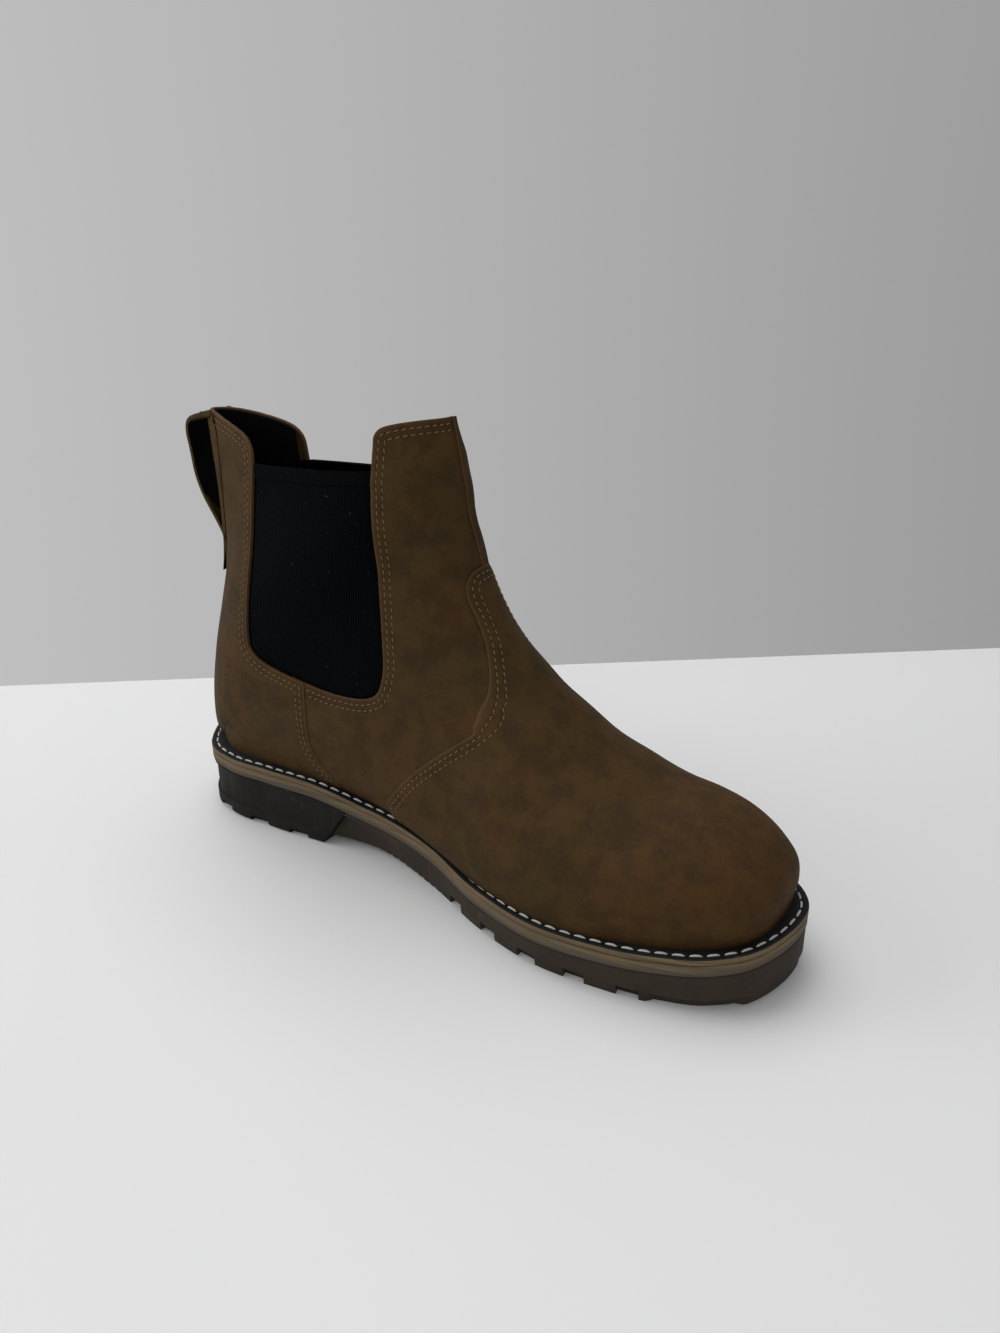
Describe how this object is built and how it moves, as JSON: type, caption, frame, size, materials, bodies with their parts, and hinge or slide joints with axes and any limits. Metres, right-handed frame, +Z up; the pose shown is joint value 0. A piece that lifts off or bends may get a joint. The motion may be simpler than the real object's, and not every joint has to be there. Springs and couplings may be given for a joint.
{
  "type": "side gore work boot",
  "caption": "Left ankle-high pull-on work boot of brown leather with elastic side gores, a back pull loop, a stitched welt and a lugged rubber sole with a block heel.",
  "frame": {"origin": "on the floor, below the middle of the boot's bounding box", "axes": "+X to the toe, +Y to the outer side of the left foot, +Z up"},
  "size_m": [0.31, 0.1086, 0.2007],
  "materials": {
    "upper_leather": "waxed nubuck, brown, scuffed",
    "elastic": "ribbed elastic webbing, near black",
    "insole": "dark fabric sock over foam",
    "welt": "satin black",
    "midsole": "matte tan",
    "outsole": "matte dark grey-brown",
    "loop_leather": "matte brown"
  },
  "bodies": {
    "root": {"upper": "upper_leather", "gore_inner": "elastic", "gore_outer": "elastic", "insole": "insole", "welt": "welt", "midsole": "midsole", "outsole": "outsole", "heel": "outsole", "pull_loop": "loop_leather"}
  },
  "joints": []
}
